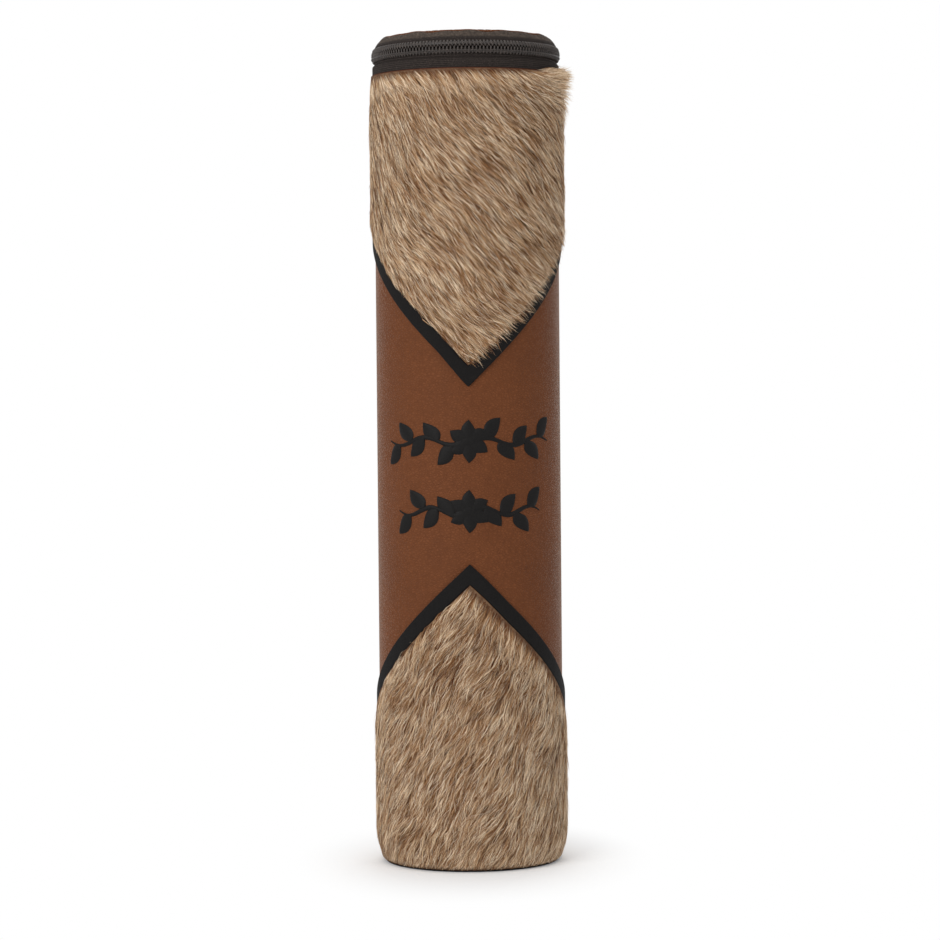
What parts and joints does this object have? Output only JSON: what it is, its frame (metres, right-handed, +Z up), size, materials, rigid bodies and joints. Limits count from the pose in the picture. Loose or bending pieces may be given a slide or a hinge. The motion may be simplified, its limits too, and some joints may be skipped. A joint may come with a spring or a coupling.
{
  "type": "scroll case",
  "caption": "Round upright case for a rolled scroll, leather over a stiff tube with two pointed hide panels and a hinged lid closed by a coil zip.",
  "frame": {"origin": "centre of the base on the surface that the case stands on", "axes": "+Z up along the tube, -Y towards the front with the points of the hide panels, +Y towards the lid's hinge"},
  "size_m": [0.0832, 0.0832, 0.3497],
  "materials": {
    "board": "plain grey-brown bookbinder's board",
    "lining_cloth": "matt dark lining cloth",
    "black_leather": "fine-grained black leather, low sheen",
    "brown_leather": "grained brown leather, soft sheen",
    "haired_hide": "short lying tan hair on hide",
    "black_thread": "raised satin-stitched black thread",
    "zip_tape": "woven charcoal zip tape",
    "zip_coil": "dark brown nylon coil, slight gloss",
    "dark_metal": "dark plated zinc, satin"
  },
  "bodies": {
    "case": {"core_tube": "board", "tube_lining": "lining_cloth", "base_board": "board", "base_lining": "lining_cloth", "base_cover": "black_leather", "leather_sleeve": "brown_leather", "upper_strip_right": "black_leather", "upper_strip_left": "black_leather", "lower_strip_right": "black_leather", "lower_strip_left": "black_leather", "upper_hide": "haired_hide", "lower_hide": "haired_hide", "upper_embroidery": "black_thread", "lower_embroidery": "black_thread", "zip_tape_lower": "zip_tape", "zip_coil_lower": "zip_coil", "zip_tape_end_right": "zip_tape", "zip_tape_end_left": "zip_tape", "zip_coil_end_right": "zip_coil", "zip_coil_end_left": "zip_coil", "zip_stop_right": "dark_metal", "zip_stop_left": "dark_metal", "strap_lower_leaf": "brown_leather"},
    "lid": {"lid_cover": "brown_leather", "lid_board": "board", "lid_lining": "lining_cloth", "zip_tape_upper": "zip_tape", "zip_coil_upper": "zip_coil", "strap_upper_leaf": "brown_leather"},
    "slider": {"slider_body": "dark_metal"},
    "pull": {"pull_ring": "dark_metal", "pull_tab": "dark_metal"}
  },
  "joints": [
    {"name": "lid_hinge", "type": "hinge", "parent": "case", "child": "lid", "pos_m": [0, 0.04032, 0.3418], "axis": [-1, 0, 0], "range_deg": [0, 170]},
    {"name": "slider_travel", "type": "hinge", "parent": "case", "child": "slider", "pos_m": [0, 0, 0.3418], "axis": [0, 0, -1], "range_deg": [0, 298.7]},
    {"name": "pull_swing", "type": "hinge", "parent": "slider", "child": "pull", "pos_m": [0.02269, 0.03835, 0.3412], "axis": [0.8606, -0.5092, 0], "range_deg": [0, 170]}
  ]
}
